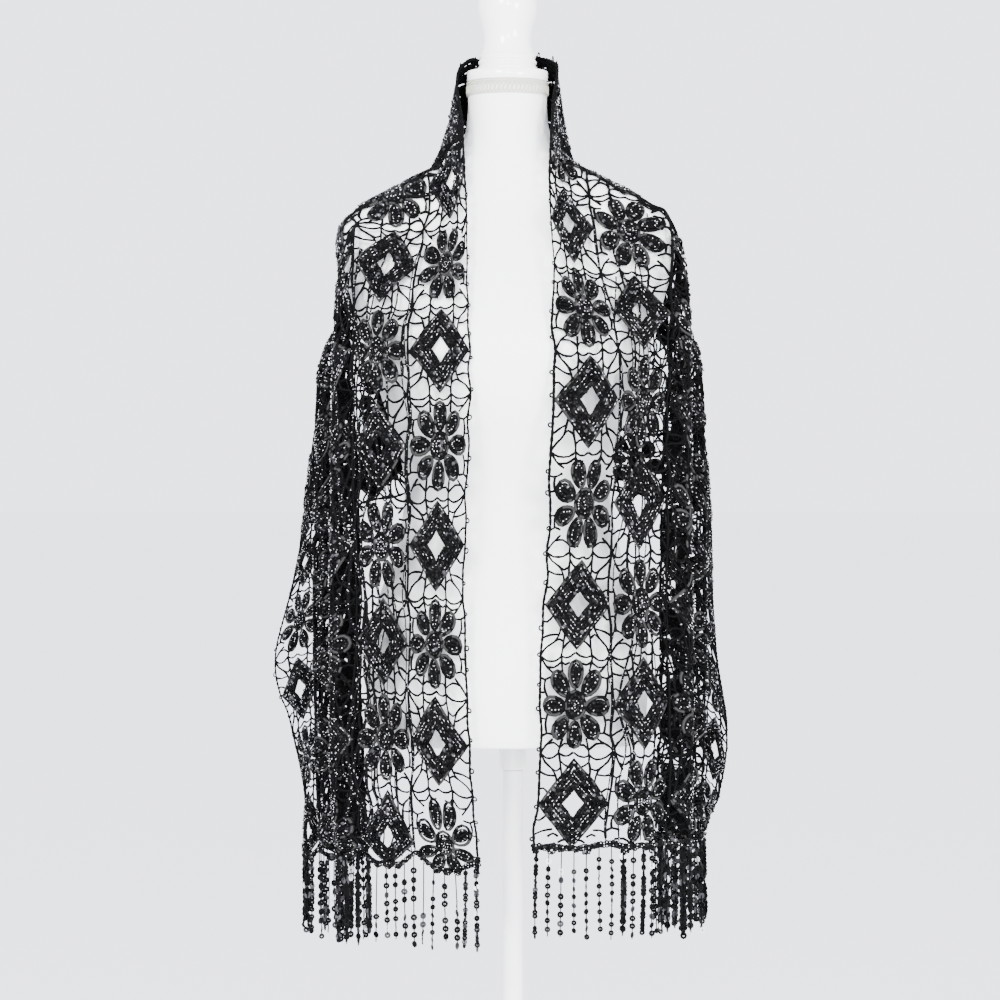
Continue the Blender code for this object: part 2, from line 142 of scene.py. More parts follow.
# Turned profiles, (radius, height) from top to bottom
FINIAL_PROFILE = [
    (0.0008, 1.5960), (0.0120, 1.5938), (0.0225, 1.5872), (0.0300, 1.5760),
    (0.0325, 1.5620), (0.0305, 1.5490), (0.0272, 1.5370), (0.0258, 1.5270), (0.0268, 1.5170),
    (0.0292, 1.5090), (0.0312, 1.5065), (0.0300, 1.5035), (0.0322, 1.5000), (0.0308, 1.4970),
    (0.0328, 1.4935), (0.0325, 1.4905),
]
NECK_PLATE_PROFILE = [
    (0.0438, 1.4902), (0.0445, 1.4895), (0.0445, 1.4797), (0.0438, 1.4790),
]
SOCKET_PROFILE = [
    (0.0150, 0.7517), (0.0150, 0.7262), (0.0138, 0.7232), (0.0110, 0.7222),
]
POLE_PROFILE = [(0.0110, 0.7219), (0.0110, 0.0263)]
BASE_PROFILE = [
    (0.0170, 0.0260), (0.0195, 0.0240), (0.0230, 0.0150), (0.0300, 0.0125),
    (0.1500, 0.0095), (0.1580, 0.0080), (0.1600, 0.0050), (0.1590, 0.0000),
]

# Where the cloth's five guide lines pass at each row, 0 at the centre back to 10 at the hem:
# out from the form's middle, depth (+ is behind) and height, on the -X side and on the +X side
INNER_EDGE = [
    (0.0000, 0.060, 1.508, 0.0000, 0.060, 1.508), (0.0510, 0.004, 1.494, 0.0505, 0.012, 1.503),
    (0.0475, -0.050, 1.425, 0.0480, -0.038, 1.452), (0.0430, -0.086, 1.326, 0.0440, -0.073, 1.370),
    (0.0425, -0.117, 1.230, 0.0480, -0.110, 1.275), (0.0405, -0.124, 1.131, 0.0480, -0.124, 1.180),
    (0.0450, -0.124, 1.024, 0.0460, -0.124, 1.071), (0.0465, -0.123, 0.916, 0.0425, -0.123, 0.961),
    (0.0445, -0.122, 0.809, 0.0365, -0.122, 0.854), (0.0390, -0.121, 0.704, 0.0330, -0.121, 0.748),
    (0.0300, -0.120, 0.622, 0.0270, -0.120, 0.644),
]
MIDDLE_LINE = [
    (0.0000, 0.084, 1.428, 0.0000, 0.084, 1.428), (0.0640, 0.052, 1.410, 0.0620, 0.058, 1.410),
    (0.0780, 0.004, 1.386, 0.0720, 0.030, 1.388), (0.0880, -0.068, 1.312, 0.0860, -0.044, 1.352),
    (0.1035, -0.102, 1.227, 0.1010, -0.090, 1.266), (0.1065, -0.112, 1.129, 0.1190, -0.104, 1.178),
    (0.1055, -0.113, 1.023, 0.1150, -0.108, 1.070), (0.1055, -0.112, 0.918, 0.1105, -0.110, 0.962),
    (0.1055, -0.111, 0.816, 0.1105, -0.109, 0.854), (0.1005, -0.110, 0.713, 0.1105, -0.108, 0.747),
    (0.0970, -0.110, 0.630, 0.1070, -0.108, 0.644),
]
SIDE_LINE = [
    (0.0000, 0.092, 1.350, 0.0000, 0.092, 1.350), (0.0880, 0.076, 1.325, 0.0880, 0.077, 1.322),
    (0.1500, 0.054, 1.316, 0.1500, 0.062, 1.305), (0.1630, -0.050, 1.317, 0.1700, -0.012, 1.338),
    (0.1670, -0.074, 1.228, 0.1770, -0.060, 1.262), (0.1650, -0.080, 1.130, 0.1740, -0.074, 1.176),
    (0.1640, -0.082, 1.024, 0.1710, -0.080, 1.072), (0.1640, -0.082, 0.918, 0.1710, -0.082, 0.964),
    (0.1640, -0.082, 0.815, 0.1720, -0.082, 0.857), (0.1620, -0.080, 0.711, 0.1720, -0.080, 0.750),
    (0.1560, -0.078, 0.632, 0.1690, -0.078, 0.646),
]
REAR_LINE = [
    (0.0000, 0.108, 1.128, 0.0000, 0.108, 1.128), (0.1000, 0.106, 1.108, 0.1000, 0.106, 1.110),
    (0.1750, 0.087, 1.090, 0.1750, 0.087, 1.095), (0.2120, 0.055, 1.097, 0.2120, 0.055, 1.105),
    (0.2120, 0.040, 1.047, 0.2140, 0.040, 1.065), (0.2080, 0.032, 0.992, 0.2120, 0.032, 1.010),
    (0.2070, 0.026, 0.925, 0.2110, 0.026, 0.945), (0.2060, 0.022, 0.857, 0.2100, 0.022, 0.872),
    (0.2040, 0.020, 0.783, 0.2080, 0.020, 0.800), (0.2000, 0.021, 0.708, 0.2040, 0.022, 0.724),
    (0.1960, 0.021, 0.632, 0.1990, 0.024, 0.648),
]
OUTER_EDGE = [
    (0.0000, 0.116, 1.052, 0.0000, 0.116, 1.052), (0.1050, 0.116, 1.030, 0.1050, 0.116, 1.034),
    (0.1850, 0.099, 1.008, 0.1850, 0.099, 1.017), (0.2200, 0.070, 1.010, 0.2200, 0.070, 1.025),
    (0.2260, 0.060, 0.998, 0.2240, 0.060, 1.010), (0.2300, 0.056, 0.965, 0.2260, 0.056, 0.970),
    (0.2400, 0.052, 0.915, 0.2270, 0.052, 0.905), (0.2570, 0.048, 0.838, 0.2330, 0.048, 0.835),
    (0.2380, 0.046, 0.762, 0.2430, 0.046, 0.762), (0.2240, 0.044, 0.695, 0.2330, 0.044, 0.690),
    (0.2220, 0.042, 0.632, 0.2080, 0.042, 0.648),
]
# How far the folds swing out at each row, and how far the free flap beyond them does
SWINGS = [
    (0.000, 0.000), (0.002, 0.000), (0.004, 0.000), (0.008, 0.000), (0.014, 0.002), (0.018, 0.003),
    (0.021, 0.003), (0.022, 0.000), (0.022, 0.004), (0.023, 0.008), (0.023, 0.012),
]


# Smooth curves
def hermite(start, end, leave, arrive, share):
    """From start to end with the slopes given there, for numbers, vectors or arrays."""
    square, cube = share * share, share * share * share
    return (
        start * (2 * cube - 3 * square + 1) + leave * (cube - 2 * square + share)
        + end * (3 * square - 2 * cube) + arrive * (cube - square)
    )


def curved(before, start, end, after, share):
    """A smooth curve through four even points, between start and end."""
    return hermite(start, end, (end - before) * 0.5, (after - start) * 0.5, share)


def along(values, place):
    """The value at a fractional place in an even list, which runs on straight past its ends."""
    last = len(values) - 1
    index = min(max(int(math.floor(place)), 0), last - 1)
    start, end = values[index], values[index + 1]
    before = values[index - 1] if index > 0 else start * 2 - end
    after = values[index + 2] if index + 2 <= last else end * 2 - start
    return curved(before, start, end, after, place - index)


def whole_line(guides):
    """A guide line's points from the +X side's hem, round the back, to the -X side's hem."""
    right = [np.array((FORM_X + g[3], g[4], g[5])) for g in guides]
    left = [np.array((FORM_X - g[0], g[1], g[2])) for g in guides]
    return right[:0:-1] + left


GUIDES = {
    0: whole_line(INNER_EDGE),
    1: whole_line(MIDDLE_LINE),
    SIDE_COLUMN: whole_line(SIDE_LINE),
    REAR_COLUMN: whole_line(REAR_LINE),
    COLUMNS: whole_line(OUTER_EDGE),
}
FOLD_SWING = [s[0] for s in SWINGS[:0:-1] + SWINGS]
FLAP_SWING = [s[1] for s in SWINGS[:0:-1] + SWINGS]


def unit(vectors):
    return vectors / np.maximum(np.linalg.norm(vectors, axis=-1, keepdims=True), 1e-12)


def drape_row(row, columns):
    """Where the inner face of the cloth hangs along one row."""
    inner, middle, side, rear, outer = [along(line, row + END_ROW) for line in GUIDES.values()]
    step = 0.05
    run = sum(
        along(GUIDES[c], row + step + END_ROW) - along(GUIDES[c], row - step + END_ROW)
        for c in (SIDE_COLUMN, REAR_COLUMN)
    )
    facing = unit(np.cross(rear - side, run))
    place = abs(row)
    flute = BACK_FLUTE * math.sin(math.tau * row / BACK_FLUTE_PITCH + 0.6)
    flute *= max(0.0, 1 - place / BACK_FLUTE_REACH)
    fold = along(FOLD_SWING, row + END_ROW)
    flap = along(FLAP_SWING, row + END_ROW)
    points = []
    for column in columns:
        if column <= SIDE_COLUMN:
            share = column / SIDE_COLUMN
            point = (
                inner * (1 - share) * (1 - 2 * share)
                + middle * 4 * share * (1 - share)
                + side * share * (2 * share - 1)
            )
            wave = FRONT_WAVE * math.sin(math.pi * column) * math.sin(0.9 * row + 0.4)
            point = point + facing * wave * min(1.0, place / FRONT_WAVE_START)
        elif column <= REAR_COLUMN:
            share = (column - SIDE_COLUMN) / (REAR_COLUMN - SIDE_COLUMN)
            swing = fold * math.sin(math.pi * HALF_FOLDS * share)
            point = side + (rear - side) * share + facing * (swing + flute * share)
        else:
            share = column - REAR_COLUMN
            swing = flap * math.sin(math.pi * min(share, 1.0))
            point = rear + (outer - rear) * share + facing * (swing + flute * (1 + 0.4 * share))
        points.append(point)
    return points


# Meshes
class Batch:
    """Vertices and triangles of many small closed pieces that become one mesh."""

    def __init__(self):
        self.points, self.triangles, self.tones, self.count = [], [], [], 0

    def add(self, points, triangles, tones=None):
        self.points.append(points.reshape(-1, 3))
        self.triangles.append(triangles + self.count)
        self.tones.append(np.zeros(len(triangles), int) if tones is None else tones)
        self.count += len(self.points[-1])


def put(name, data):
    """A new object in the scene."""
    thing = bpy.data.objects.new(name, data)
    bpy.context.scene.collection.objects.link(thing)
    return thing


def show(name, points, faces, materials, replaces=(), smooth=True, tones=None):
    """Adds a mesh to the scene as a piece of the object."""
    mesh = bpy.data.meshes.new(name)
    mesh.from_pydata(points, [], faces)
    for material in materials:
        mesh.materials.append(material)
    if tones is not None:
        mesh.polygons.foreach_set("material_index", tones)
    if smooth:
        mesh.shade_smooth()
    mesh.update()
    piece = put(name, mesh)
    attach(piece, "root")
    if replaces:
        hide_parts(*replaces)
    return piece


def show_batch(name, batch, materials, replaces=(), smooth=True, place=None):
    points, triangles = np.vstack(batch.points), np.vstack(batch.triangles)
    if place:  # hanging mirrors the flat work
        points, triangles = place(points), triangles[:, ::-1]
    tones = np.concatenate(batch.tones)
    return show(name, points, triangles, materials, replaces, smooth, tones)


def spread(points, step, closed=False):
    """Points about a step apart on a smooth curve through the given points."""
    points = np.asarray(points, float)
    if closed:
        walk = np.vstack([points[-1:], points, points[:2]])
    else:
        walk = np.vstack([2 * points[:1] - points[1:2], points, 2 * points[-1:] - points[-2:-1]])
    found = []
    for before, start, end, after in zip(walk, walk[1:], walk[2:], walk[3:]):
        parts = max(1, math.ceil(np.linalg.norm(end - start) / step))
        found.append(curved(before, start, end, after, (np.arange(parts) / parts)[:, None]))
    if not closed:
        found.append(points[-1:])
    return np.vstack(found)


def edged(corners, step):
    """Points about a step apart round a closed straight-sided path."""
    corners = np.asarray(corners, float)
    found = []
    for start, end in zip(corners, np.roll(corners, -1, axis=0)):
        parts = max(1, math.ceil(np.linalg.norm(end - start) / step))
        found.append(start + (end - start) * (np.arange(parts) / parts)[:, None])
    return np.vstack(found)


def tube(points, radius, closed=False, sides=4, up=(0.0, 0.0, 1.0), flatness=1.0):
    """A closed tube round a path, as points and triangles."""
    count = len(points)
    if closed:
        run = np.roll(points, -1, axis=0) - np.roll(points, 1, axis=0)
    else:
        run = np.gradient(points, axis=0)
    run = unit(run)
    side = unit(np.cross(run, up))
    top = np.cross(side, run)
    turn = (math.tau * np.arange(sides) / sides)[None, :, None]
    radius = np.broadcast_to(radius, count)[:, None, None]
    spokes = np.cos(turn) * side[:, None] + np.sin(turn) * top[:, None] * flatness
    rings = points[:, None] + radius * spokes
    near = np.arange(count if closed else count - 1)[:, None] * sides + np.arange(sides)[None]
    next_side = near - np.arange(sides) + (np.arange(sides) + 1) % sides
    far, far_next = (near + sides) % (count * sides), (next_side + sides) % (count * sides)
    walls = [np.stack([near, far_next, next_side], -1), np.stack([near, far, far_next], -1)]
    triangles = np.concatenate(walls).reshape(-1, 3)
    if not closed:
        fan = np.array([(0, k, k + 1) for k in range(1, sides - 1)])
        triangles = np.vstack([triangles, fan, fan[:, ::-1] + (count - 1) * sides])
    return rings.reshape(-1, 3), triangles


# Dress form
def form_section(height):
    """Half width, front depth, back depth and roundness of the form at a height."""
    rows = FORM_SECTIONS
    index = 0
    while index < len(rows) - 2 and height < rows[index + 1].height:
        index += 1
    start, end = rows[index], rows[index + 1]
    length = start.height - end.height
    share = (start.height - height) / length
    before, after = rows[max(index - 1, 0)], rows[min(index + 2, len(rows) - 1)]
    result = []
    for field in ("half_width", "front", "back", "roundness"):
        near, far = getattr(start, field), getattr(end, field)
        leave = (far - getattr(before, field)) / (before.height - end.height) * length
        arrive = (getattr(after, field) - near) / (start.height - after.height) * length
        result.append(hermite(near, far, leave, arrive, share))
    return result


def form_ring(height, inset=0.0):
    half_width, front, back, roundness = form_section(height)
    turn = math.tau * np.arange(FORM_SIDES) / FORM_SIDES
    across, deep = np.cos(turn), np.sin(turn)
    power = 2 / roundness
    depth = np.where(deep > 0, back, front) - inset
    x = FORM_X + (half_width - inset) * np.copysign(np.abs(across) ** power, across)
    y = depth * np.copysign(np.abs(deep) ** power, deep)
    return np.stack([x, y, np.full(FORM_SIDES, height)], -1)


def lathe_faces(rings, sides):
    """Quads between rings from top to bottom, and a cap at each end."""
    faces = [
        (upper + k, upper + sides + k, upper + sides + (k + 1) % sides, upper + (k + 1) % sides)
        for upper in range(0, (rings - 1) * sides, sides) for k in range(sides)
    ]
    faces.append(tuple(range(sides)))
    faces.append(tuple(range(rings * sides - 1, (rings - 1) * sides - 1, -1)))
    return faces


def form_mesh():
    top, bottom = FORM_SECTIONS[0].height, FORM_SECTIONS[-1].height
    steps = math.ceil((top - bottom) / FORM_STEP)
    length = top - bottom - RIM_HEIGHTS
    rings = [form_ring(top, TOP_RIM_INSET)]
    rings += [form_ring(top - TOP_RIM_HEIGHT - length * k / steps) for k in range(steps + 1)]
    rings += [form_ring(bottom + height, inset) for height, inset in BOTTOM_RIM]
    return np.vstack(rings), lathe_faces(len(rings), FORM_SIDES)


FORM_POINTS, FORM_FACES = form_mesh()
FORM_SURFACE = BVHTree.FromPolygons([Vector(p) for p in FORM_POINTS], FORM_FACES)

# The hung cloth on a fine grid
GRID_ROWS = np.arange(-END_ROW - GRID_MARGIN, END_ROW + GRID_MARGIN + GRID_STEP / 2, GRID_STEP)
GRID_COLUMNS = np.arange(-GRID_MARGIN, COLUMNS + GRID_MARGIN + GRID_STEP / 2, GRID_STEP)
GRID = np.array([drape_row(row, GRID_COLUMNS) for row in GRID_ROWS])


def clear_of_form(points):
    """The points, each moved out to its clearance from the form where it is nearer."""
    for index, point in enumerate(points):
        place, normal, _, distance = FORM_SURFACE.find_nearest(Vector(point), CLEARANCE_REACH)
        if place is None:
            continue
        height = distance if (Vector(point) - place).dot(normal) > 0 else -distance
        if height < CLOTH_CLEARANCE:
            points[index] = point + np.array(normal) * (CLOTH_CLEARANCE - height)
    return points


GRID = clear_of_form(GRID.reshape(-1, 3)).reshape(GRID.shape)
NORMALS = unit(np.cross(np.gradient(GRID, axis=1), np.gradient(GRID, axis=0)))
for _ in range(NORMAL_PASSES):
    padded = np.pad(NORMALS, ((1, 1), (1, 1), (0, 0)), mode="edge")
    NORMALS = unit(
        padded[1:-1, 1:-1] * 2
        + padded[:-2, 1:-1] + padded[2:, 1:-1] + padded[1:-1, :-2] + padded[1:-1, 2:]
    )


def blend(grid, i, j, p, q):
    """A grid's values at the shares p and q of the way from i and j to the next."""
    return (
        grid[i, j] * (1 - p) * (1 - q) + grid[i + 1, j] * p * (1 - q)
        + grid[i, j + 1] * (1 - p) * q + grid[i + 1, j + 1] * p * q
    )


def hung(flat):
    """Where flat points hang."""
    row = (flat[:, 0] / CELL_LENGTH - GRID_ROWS[0]) / GRID_STEP
    column = (flat[:, 1] / CELL_WIDTH - GRID_COLUMNS[0]) / GRID_STEP
    i = np.clip(row.astype(int), 0, len(GRID_ROWS) - 2)
    j = np.clip(column.astype(int), 0, len(GRID_COLUMNS) - 2)
    p, q = (row - i)[:, None], (column - j)[:, None]
    return blend(GRID, i, j, p, q) + unit(blend(NORMALS, i, j, p, q)) * flat[:, 2:3]


# Lace, flat
random = np.random.default_rng(41)
FIELD_PER_CELL = 4
FIELD = random.uniform(-1, 1, (2 * END_ROW * FIELD_PER_CELL + 8, COLUMNS * FIELD_PER_CELL + 8, 2))


def worked(cells, lift, stray):
    """Flat points from (row, column) in cells, which stray as handwork does."""
    cells = np.asarray(cells, float)
    row = (cells[:, 0] + END_ROW) * FIELD_PER_CELL + 2
    column = cells[:, 1] * FIELD_PER_CELL + 2
    i = np.clip(row.astype(int), 0, FIELD.shape[0] - 2)
    j = np.clip(column.astype(int), 0, FIELD.shape[1] - 2)
    p, q = row - i, column - j
    p, q = (p * p * (3 - 2 * p))[:, None], (q * q * (3 - 2 * q))[:, None]
    moved = cells + blend(FIELD, i, j, p, q) * stray
    lifted = np.broadcast_to(lift, len(cells))
    return np.stack([moved[:, 0] * CELL_LENGTH, moved[:, 1] * CELL_WIDTH, lifted], -1)


def is_flower(row_index, column_index):
    """Flowers and lozenges alternate, with a flower in the inner corner of the -X side's hem."""
    return (END_ROW - 1 - row_index + column_index) % 2 == 0


# One quarter of a cell's net, (across, down) from its corner knot
LOZENGE_NET = [
    [(0, 0), (0.07, 0.09), (0.17, 0.155), (0.225, 0.235), (0.245, 0.31)],
    [(0.17, 0.155), (0.235, 0.185), (0.305, 0.150)],
    [(0.30, 0), (0.31, 0.075), (0.305, 0.150), (0.315, 0.245)],
    [(0.31, 0.075), (0.36, 0.110), (0.43, 0.130)],
    [(0, 0.19), (0.10, 0.225), (0.225, 0.235)],
    [(0, 0.35), (0.06, 0.345), (0.15, 0.40)],
    [(0, 0.5), (0.05, 0.5)],
]
FLOWER_NET = [
    [(0, 0), (0.07, 0.09), (0.17, 0.17)],
    [(0.30, 0), (0.305, 0.06), (0.32, 0.17)],
    [(0.305, 0.06), (0.36, 0.10), (0.43, 0.09)],
    [(0, 0.21), (0.07, 0.24), (0.16, 0.22)],
    [(0.07, 0.24), (0.06, 0.33), (0.10, 0.42)],
    [(0, 0.37), (0.035, 0.375), (0.07, 0.37)],
    [(0.09, 0.11), (0.20, 0.12), (0.305, 0.06)],
]
# The scallops along one cell of a row line, as (start, end, sag), and the shape of one of them
SCALLOPS = [(0.0, 0.30, 0.055), (0.30, 0.50, 0.035), (0.50, 0.70, 0.035), (0.70, 1.0, 0.055)]
SCALLOP_SHAPE = ((0, 0), (0.3, 0.85), (0.7, 0.85), (1, 0))

# Motifs, in cells from their middles: rows of a lozenge as (half width, half length), petals as
# (half length, half width)
LOZENGE_ROWS = [
    (0.1755, 0.169), (0.2365, 0.227), (0.2975, 0.285), (0.3585, 0.343), (0.4195, 0.401),
]
LOZENGE_OUTLINE = (0.466, 0.444)
PETALS = 8
PETAL_MIDDLE = 0.302
PETAL_OUTLINE = (0.142, 0.089)
PETAL_FILLING = (0.094, 0.043)
PETAL_SPINE = 0.075
PETAL_POINTS = 12
PETAL_TIP_FULLNESS = 0.22
PETAL_VARIATION = 0.07
PETAL_CORD_RADIUS = 0.0027
SPINE_LIFT = CORD_LIFT + 0.0003
FLOWER_CORD_RADIUS = 0.0026
FLOWER_RINGS = ((0.014, 6), (0.054, 12), (0.098, 12))  # (radius, points)
FLOWER_OUTLINE = 0.138
OUTLINE_RADIUS = 0.0019
GREY_SHARE = 0.5

# The last row on the -X side sags: how far down its middle lies, and how long its lower half is
SAG_MIDDLE, SAG_LOWER = 0.71, 0.76


def uneven(count, middle):
    return middle * random.uniform(0.8, 1.25, count)


def add_yarn(batch, cells, lift=YARN_LIFT, radius=YARN_RADIUS):
    path = worked(spread(np.asarray(cells) * CELL_SIZE, YARN_STEP) / CELL_SIZE, lift, NET_STRAY)
    batch.add(*tube(path, uneven(len(path), radius), sides=YARN_SIDES))


def add_cord(batch, path, radius, closed=False, grey=0.0):
    """A flattened cord, of which a share of short lengths is grey."""
    points, triangles = tube(path, radius, closed, CORD_SIDES, flatness=CORD_FLATNESS)
    spans = len(path) if closed else len(path) - 1
    is_grey = np.repeat(random.uniform(size=spans) < grey, CORD_SIDES)
    tones = np.zeros(len(triangles), int)
    tones[: 2 * CORD_SIDES * spans] = np.tile(is_grey, 2)
    batch.add(points, triangles, tones)


def settled(cells):
    """Cells of the last row on the -X side, drawn out above the middle and drawn in below it."""
    cells = np.asarray(cells, float)
    down = cells[:, 0] - (END_ROW - 1)
    if down.mean() <= 0:
        return cells
    down = np.where(down < 0.5, down * 2 * SAG_MIDDLE, SAG_MIDDLE + (down - 0.5) * SAG_LOWER)
    return np.stack([END_ROW - 1 + down, cells[:, 1]], -1)


def hem_row(column, row):
    """How far from the back the hem on a row's side lies at a column, dipping under each motif."""
    depth, past = SCALLOPED_HEM if row > 0 else STRAIGHT_HEM
    return END_ROW + past - depth * (1 - math.sin(math.pi * (column % 1.0)) ** SCALLOP_FULLNESS)


def is_past_hem(cells):
    """Whether a yarn lies in the open places between the hem's scallops."""
    return any(abs(row) > hem_row(column, row) + NET_PAST_HEM for row, column in cells)


def add_net(batch, row_index, column_index):
    """The net between a cell's corner knots and its motif."""
    for yarn in FLOWER_NET if is_flower(row_index, column_index) else LOZENGE_NET:
        for right in (False, True):
            for lower in (False, True):
                cells = settled([
                    (row_index + (1 - v if lower else v), column_index + (1 - u if right else u))
                    for u, v in yarn
                ])
                if not is_past_hem(cells):
                    add_yarn(batch, cells)


def add_row_line(batch, row, column_index):
    """Scallops that sag towards the hem between the net's upright yarns."""
    down = -1 if row < 0 else 1
    for start, end, sag in SCALLOPS:
        cells = [
            (row + down * sag * v, column_index + start + (end - start) * u)
            for u, v in SCALLOP_SHAPE
        ]
        add_yarn(batch, cells, YARN_LIFT + 0.0002)


def add_column_line(batch, row_index, column):
    """One cell of the upright yarn between two columns."""
    rows = row_index + np.arange(9) / 8
    rows = [row for row in rows if abs(row) <= hem_row(column, row) + LINE_PAST_HEM]
    cells = [(row, column + 0.02 * math.sin(2.1 * row + column)) for row in rows]
    add_yarn(batch, cells, YARN_LIFT + 0.0004, YARN_RADIUS * 1.1)


def ring(middle, high, wide, count=12):
    turn = np.arange(count) * math.tau / count
    return np.stack([middle[0] + high * np.cos(turn), middle[1] + wide * np.sin(turn)], -1)


def on_motif(flat):
    """A motif's path in metres of flat cloth, worked."""
    return worked(flat / CELL_SIZE, CORD_LIFT, MOTIF_STRAY)


def lozenge(middle, half_width, half_length):
    """A lozenge's corners in metres of flat cloth."""
    ends = ((0, half_width), (half_length, 0), (0, -half_width), (-half_length, 0))
    return settled([middle + end for end in ends]) * CELL_SIZE


def add_lozenge(cords, sequins, middle):
    """Rows of sequins round an open middle, inside a grey outline."""
    for half_width, half_length in LOZENGE_ROWS:
        corners = lozenge(middle, half_width, half_length)
        add_cord(cords, on_motif(edged(corners, SQUARE_STEP)), CORD_RADIUS, True)
        add_sequins(sequins, on_motif(edged(corners, SEQUIN_PITCH * 0.9)), True, 0.62, True)
    outline = edged(lozenge(middle, *LOZENGE_OUTLINE), CORD_STEP)
    add_cord(cords, on_motif(outline), OUTLINE_RADIUS, True, GREY_SHARE)


def petal(middle, out, half_length, half_width):
    """An oval that reaches out from a flower's middle and is fuller towards its tip."""
    across = np.array((-out[1], out[0]))
    turn = np.arange(PETAL_POINTS)[:, None] * math.tau / PETAL_POINTS
    return (
        middle + out * (PETAL_MIDDLE + half_length * np.cos(turn))
        + across * half_width * np.sin(turn) * (1 + PETAL_TIP_FULLNESS * np.cos(turn))
    )


def add_outline(cords, cells):
    path = on_motif(spread(settled(cells) * CELL_SIZE, CORD_STEP, True))
    add_cord(cords, path, OUTLINE_RADIUS, True, GREY_SHARE)


def add_filling(cords, sequins, cells, radius):
    """A closed cord with a row of sequins on it."""
    flat = settled(cells) * CELL_SIZE
    add_cord(cords, on_motif(spread(flat, CORD_STEP, True)), radius, True)
    add_sequins(sequins, on_motif(spread(flat, SEQUIN_PITCH * 1.1, True)), True, 0.9)


def add_flower(cords, sequins, middle):
    """Petals filled with sequins inside grey outlines, round a filled middle."""
    half_turned = int(middle[0]) % 3 == 0
    for index in range(PETALS):
        angle = math.tau * (index + 0.5 * half_turned) / PETALS
        out = np.array((math.cos(angle), math.sin(angle)))
        longer = 1 + PETAL_VARIATION * math.sin(5.0 * index + middle[0])
        length, width = PETAL_OUTLINE
        add_outline(cords, petal(middle, out, length * longer, width))
        length, width = PETAL_FILLING
        filling = petal(middle, out, length * longer, width)
        add_filling(cords, sequins, filling, PETAL_CORD_RADIUS)
        ends = (-PETAL_SPINE, 0.0, PETAL_SPINE)
        spine = settled([middle + out * (PETAL_MIDDLE + end) for end in ends])
        add_cord(cords, worked(spine, SPINE_LIFT, MOTIF_STRAY), FLOWER_CORD_RADIUS)
    for radius, count in FLOWER_RINGS:
        add_filling(cords, sequins, ring(middle, radius, radius, count), FLOWER_CORD_RADIUS)
    add_outline(cords, ring(middle, FLOWER_OUTLINE, FLOWER_OUTLINE))


def add_motif(cords, sequins, row_index, column_index):
    add = add_flower if is_flower(row_index, column_index) else add_lozenge
    add(cords, sequins, np.array((row_index + 0.5, column_index + 0.5)))


def double_cones(rim, middle, normal, half_height):
    """Closed double cones on the points round each one's rim."""
    sides = len(rim)
    points = np.stack(rim + [middle + normal * half_height, middle - normal * half_height], 1)
    cone = [(k, (k + 1) % sides, sides) for k in range(sides)]
    cone += [((k + 1) % sides, k, sides + 1) for k in range(sides)]
    starts = (sides + 2) * np.arange(len(middle))[:, None, None]
    return points, (np.array(cone)[None] + starts).reshape(-1, 3)


def add_sequins(batch, path, closed, beads=0.5, between=False):
    """A row of overlapping sequins, each a flat double cone.

    The share of them in beads carries a bead, on the sequin or as a longer one between the rows,
    the light ones of which are painted glints.
    """
    count = len(path)
    if closed:
        run = unit(np.roll(path, -1, axis=0) - np.roll(path, 1, axis=0))
    else:
        run = unit(np.gradient(path, axis=0))
    up = np.array((0.0, 0.0, 1.0))
    side = np.cross(up, run)
    tilt = random.normal(*SEQUIN_TILT, count)[:, None]
    roll = random.normal(*SEQUIN_ROLL, count)[:, None]
    first = run * np.cos(tilt) + up * np.sin(tilt)
    normal = np.cross(first, side)
    second = side * np.cos(roll) + normal * np.sin(roll)
    normal = np.cross(first, second)
    middle = path.copy()
    lift = path[:, 2] + SEQUIN_LIFT - CORD_LIFT
    middle[:, 2] = lift + random.uniform(-SEQUIN_STRAY, SEQUIN_STRAY, count)
    middle += side * random.normal(0, SEQUIN_STRAY, count)[:, None]
    radius = SEQUIN_RADIUS * random.uniform(*SEQUIN_SIZES, count)[:, None]
    rim = [
        middle + radius * (math.cos(angle) * first + math.sin(angle) * second)
        for angle in math.tau * np.arange(SEQUIN_SIDES) / SEQUIN_SIDES
    ]
    tones = np.repeat(random.choice(2, count, p=SEQUIN_TONES), 2 * SEQUIN_SIDES)
    batch.add(*double_cones(rim, middle, normal, SEQUIN_HALF_THICKNESS), tones)
    beaded = random.uniform(size=count) < beads
    first, second, normal, side = first[beaded], second[beaded], normal[beaded], side[beaded]
    if between:
        heart = middle[beaded] + side * 0.0019 + up * 0.0008
        first, second = first * 2.0, second * 0.5
    else:
        heart = middle[beaded] + normal * 0.0006
    add_beads(batch, heart, (first, second, -first, -second), normal, BEAD_SIZES)


def add_beads(batch, heart, spokes, normal, sizes):
    size = BEAD_RADIUS * random.uniform(*sizes, len(heart))[:, None]
    rim = [heart + size * spoke for spoke in spokes]
    # Tone 2, the light silver, is a painted glint; tone 1 is the beads' own smoke colour
    tones = np.repeat(random.choice((1, 2), len(heart), p=SMOKE_AND_GLINT_BEAD_SHARES), 2 * len(rim))
    batch.add(*double_cones(rim, heart, normal, BEAD_HALF_HEIGHT), tones)


